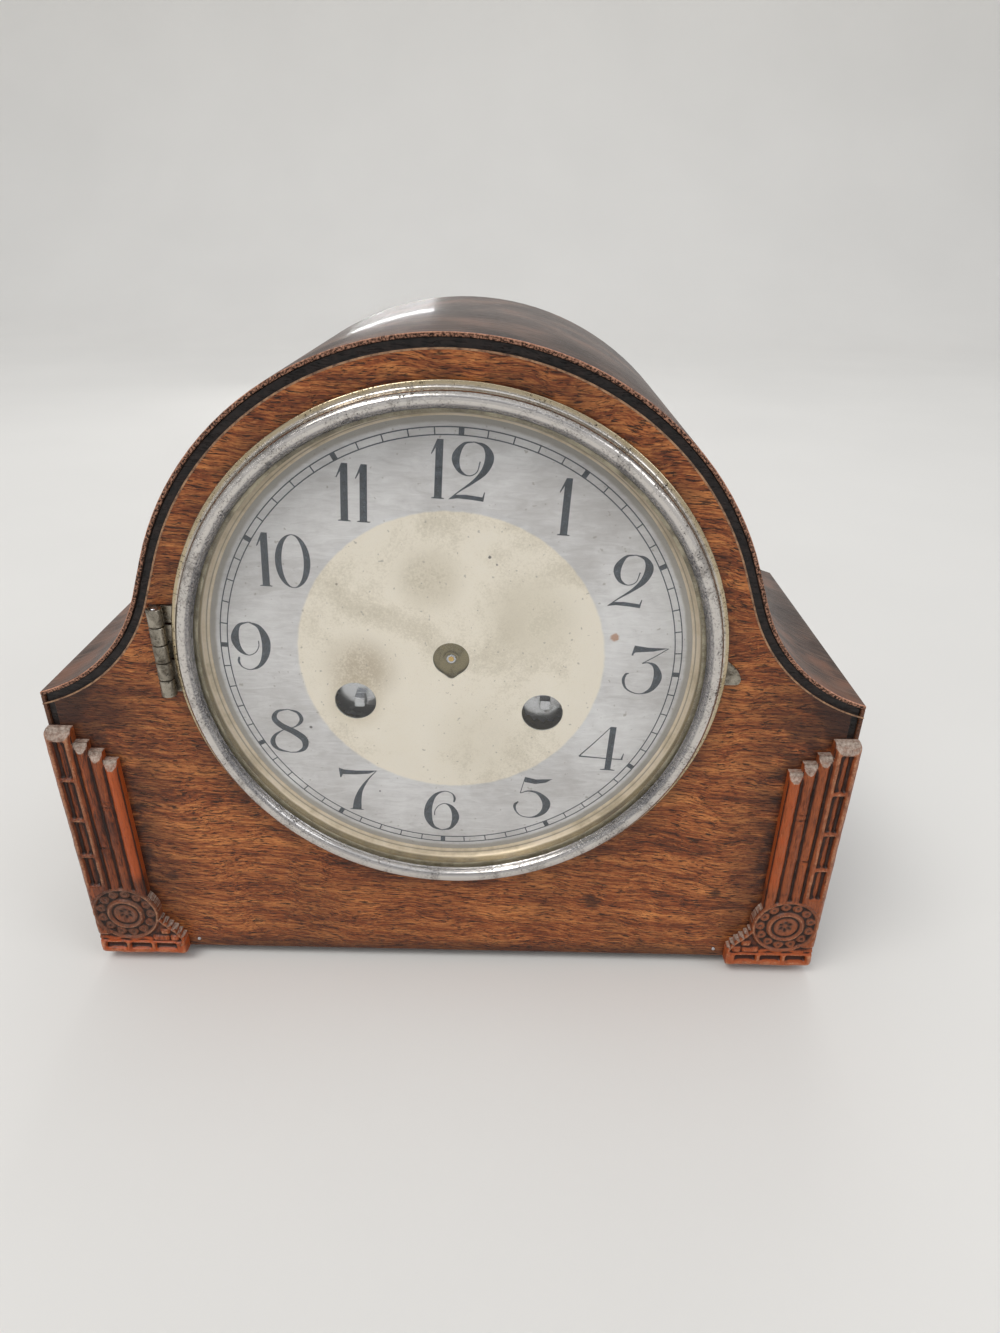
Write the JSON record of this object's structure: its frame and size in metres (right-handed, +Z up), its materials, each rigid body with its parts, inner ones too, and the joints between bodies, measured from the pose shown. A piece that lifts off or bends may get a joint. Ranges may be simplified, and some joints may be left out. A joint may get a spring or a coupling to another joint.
{
  "type": "beehive shelf clock",
  "caption": "Wooden mantel clock with a round arched case, swept shoulders, hinged round bezel, Arabic dial, rear door and a sprung striking movement on a short pendulum.",
  "frame": {"origin": "middle of the overall width and depth, on the plane the feet stand on", "axes": "+X to the right as seen from the front, +Y from the dial towards the rear door, +Z up"},
  "size_m": [0.2544, 0.1296, 0.2151],
  "materials": {
    "oak_veneer": "semi-gloss, red-brown veneer",
    "dark_cover": "semi-gloss, dark grey-brown",
    "carved_wood": "semi-gloss, worn edges",
    "carcass_wood": "plain, unpolished",
    "door_steel": "dull",
    "dial_face": "silvered and lacquered, stained",
    "surround_cream": "cream paint, aged",
    "bezel_nickel": "worn nickel plate with pitting",
    "glass_clear": "clear, slightly smudged",
    "plain_brass": "lacquer worn, aged",
    "wheel_brass": "aged",
    "bright_steel": "plain",
    "blued_steel": "blued",
    "dark_iron": "black paint"
  },
  "bodies": {
    "case": {"front_board": "oak_veneer", "arch_cover": "dark_cover", "side_panel_right": "dark_cover", "side_panel_left": "dark_cover", "base_board": "carcass_wood", "glue_blocks": "carcass_wood", "feet": "carcass_wood", "back_frame": "carcass_wood", "door_hinge_frame_leaves": "door_steel", "turn_button_screw": "plain_brass", "corner_ornament_right": "carved_wood", "corner_ornament_left": "carved_wood", "board_brads": "bright_steel", "dial_plate": "dial_face", "dial_surround": "surround_cream", "dial_pins": "plain_brass", "board_hinge_leaf": "bezel_nickel", "bezel_hinge_pin": "bright_steel", "movement_front_plate": "plain_brass", "movement_back_plate": "plain_brass", "plate_pillars": "bright_steel", "pillar_nuts": "bright_steel", "mounting_straps": "dark_iron", "mounting_screws": "bright_steel", "click_screws": "bright_steel", "pendulum_cock": "plain_brass", "gong_coil": "blued_steel", "gong_post": "dark_iron"},
    "bezel": {"bezel_ring": "bezel_nickel", "bezel_glass": "glass_clear", "glass_retainer": "plain_brass", "bezel_hinge_leaf": "bezel_nickel", "bezel_thumb_tab": "bezel_nickel"},
    "rear_door": {"back_door": "carcass_wood", "door_hinge_door_leaves": "door_steel"},
    "turn_button": {"door_turn_button": "plain_brass"},
    "going_barrel_body": {"going_barrel": "wheel_brass"},
    "strike_barrel_body": {"strike_barrel": "wheel_brass"},
    "going_winding": {"going_winding_arbor": "bright_steel"},
    "strike_winding": {"strike_winding_arbor": "bright_steel"},
    "going_click_body": {"going_click": "bright_steel"},
    "strike_click_body": {"strike_click": "bright_steel"},
    "going_second": {"going_second_wheel": "wheel_brass"},
    "centre_arbor": {"centre_wheel": "wheel_brass", "cannon_pinion": "bright_steel"},
    "minute_work": {"minute_wheel": "wheel_brass"},
    "hour_work": {"hour_wheel": "wheel_brass"},
    "third_arbor": {"third_wheel": "wheel_brass"},
    "escape_arbor": {"escape_wheel": "wheel_brass"},
    "anchor": {"anchor_and_crutch": "bright_steel"},
    "pendulum": {"suspension_spring": "blued_steel", "pendulum_rod": "bright_steel", "pendulum_bob": "plain_brass", "rating_nut": "plain_brass"},
    "strike_second": {"strike_second_wheel": "wheel_brass"},
    "pin_wheel": {"strike_pin_wheel": "wheel_brass"},
    "warning_wheel": {"strike_warning_wheel": "wheel_brass"},
    "fly": {"strike_fly": "wheel_brass"},
    "hammer": {"hammer_arm": "bright_steel", "hammer_head": "plain_brass"}
  },
  "joints": [
    {"name": "bezel_hinge", "type": "hinge", "parent": "case", "child": "bezel", "pos_m": [-0.0856, -0.05888, 0.1249], "axis": [0, 0, -1], "range_deg": [0, 110]},
    {"name": "rear_door_hinge", "type": "hinge", "parent": "case", "child": "rear_door", "pos_m": [-0.0705, 0.05972, 0.1104], "axis": [0, 0, 1], "range_deg": [0, 110]},
    {"name": "turn_button_pivot", "type": "hinge", "parent": "case", "child": "turn_button", "pos_m": [0.076, 0.06247, 0.1104], "axis": [0, -1, 0], "range_deg": [0, 90]},
    {"name": "going_barrel_spin", "type": "hinge", "parent": "case", "child": "going_barrel_body", "pos_m": [0.0292, -0.02938, 0.1048], "axis": [0, 1, 0], "continuous": true},
    {"name": "strike_barrel_spin", "type": "hinge", "parent": "case", "child": "strike_barrel_body", "pos_m": [-0.0292, -0.02938, 0.1048], "axis": [0, 1, 0], "continuous": true},
    {"name": "going_winding_spin", "type": "hinge", "parent": "case", "child": "going_winding", "pos_m": [0.0292, -0.04638, 0.1048], "axis": [0, 1, 0], "continuous": true},
    {"name": "strike_winding_spin", "type": "hinge", "parent": "case", "child": "strike_winding", "pos_m": [-0.0292, -0.04638, 0.1048], "axis": [0, 1, 0], "continuous": true},
    {"name": "going_click_pivot", "type": "hinge", "parent": "case", "child": "going_click_body", "pos_m": [0.04209, -0.04688, 0.11165], "axis": [0, 1, 0], "range_deg": [0, 12], "stiffness_Nm_per_rad": 0.001, "springref_deg": -17.19},
    {"name": "strike_click_pivot", "type": "hinge", "parent": "case", "child": "strike_click_body", "pos_m": [-0.04209, -0.04688, 0.11165], "axis": [0, -1, 0], "range_deg": [0, 12], "stiffness_Nm_per_rad": 0.001, "springref_deg": -17.19},
    {"name": "going_second_spin", "type": "hinge", "parent": "case", "child": "going_second", "pos_m": [0.01605, -0.02938, 0.12839], "axis": [0, 1, 0], "continuous": true},
    {"name": "centre_spin", "type": "hinge", "parent": "case", "child": "centre_arbor", "pos_m": [0, -0.02938, 0.1214], "axis": [0, 1, 0], "continuous": true},
    {"name": "minute_spin", "type": "hinge", "parent": "case", "child": "minute_work", "pos_m": [0, -0.04838, 0.1114], "axis": [0, 1, 0], "continuous": true},
    {"name": "hour_spin", "type": "hinge", "parent": "case", "child": "hour_work", "pos_m": [0, -0.05138, 0.1214], "axis": [0, 1, 0], "continuous": true},
    {"name": "third_spin", "type": "hinge", "parent": "case", "child": "third_arbor", "pos_m": [0, -0.02938, 0.13778], "axis": [0, 1, 0], "continuous": true},
    {"name": "escape_spin", "type": "hinge", "parent": "case", "child": "escape_arbor", "pos_m": [0, -0.02938, 0.1529], "axis": [0, 1, 0], "continuous": true},
    {"name": "pendulum_swing", "type": "hinge", "parent": "case", "child": "pendulum", "pos_m": [0, -0.00328, 0.1673], "axis": [0, 1, 0], "range_deg": [-4, 4]},
    {"name": "anchor_swing", "type": "hinge", "parent": "case", "child": "anchor", "pos_m": [0, -0.02938, 0.1673], "axis": [0, 1, 0], "range_deg": [-4, 4]},
    {"name": "strike_second_spin", "type": "hinge", "parent": "case", "child": "strike_second", "pos_m": [-0.01605, -0.02938, 0.12839], "axis": [0, 1, 0], "continuous": true},
    {"name": "pin_wheel_spin", "type": "hinge", "parent": "case", "child": "pin_wheel", "pos_m": [-0.02692, -0.02938, 0.13889], "axis": [0, 1, 0], "continuous": true},
    {"name": "warning_spin", "type": "hinge", "parent": "case", "child": "warning_wheel", "pos_m": [-0.02382, -0.02938, 0.15048], "axis": [0, 1, 0], "continuous": true},
    {"name": "fly_spin", "type": "hinge", "parent": "case", "child": "fly", "pos_m": [-0.02865, -0.02938, 0.15885], "axis": [0, 1, 0], "continuous": true},
    {"name": "hammer_lift", "type": "hinge", "parent": "case", "child": "hammer", "pos_m": [-0.047, -0.01638, 0.1254], "axis": [0, 1, 0], "range_deg": [0, 9], "stiffness_Nm_per_rad": 0.004, "springref_deg": -34.38}
  ],
  "couplings": [
    {"joint": "third_spin", "follows": "escape_spin", "ratio": -0.090909},
    {"joint": "centre_spin", "follows": "escape_spin", "ratio": 0.0075758},
    {"joint": "going_second_spin", "follows": "escape_spin", "ratio": -0.0012626},
    {"joint": "going_barrel_spin", "follows": "escape_spin", "ratio": 0.00021044},
    {"joint": "minute_spin", "follows": "escape_spin", "ratio": -0.0025253},
    {"joint": "hour_spin", "follows": "escape_spin", "ratio": 0.00063131},
    {"joint": "pin_wheel_spin", "follows": "warning_spin", "ratio": -0.14286},
    {"joint": "strike_second_spin", "follows": "warning_spin", "ratio": 0.02381},
    {"joint": "strike_barrel_spin", "follows": "warning_spin", "ratio": -0.0039683},
    {"joint": "fly_spin", "follows": "warning_spin", "ratio": -6},
    {"joint": "anchor_swing", "follows": "pendulum_swing", "ratio": 1}
  ]
}
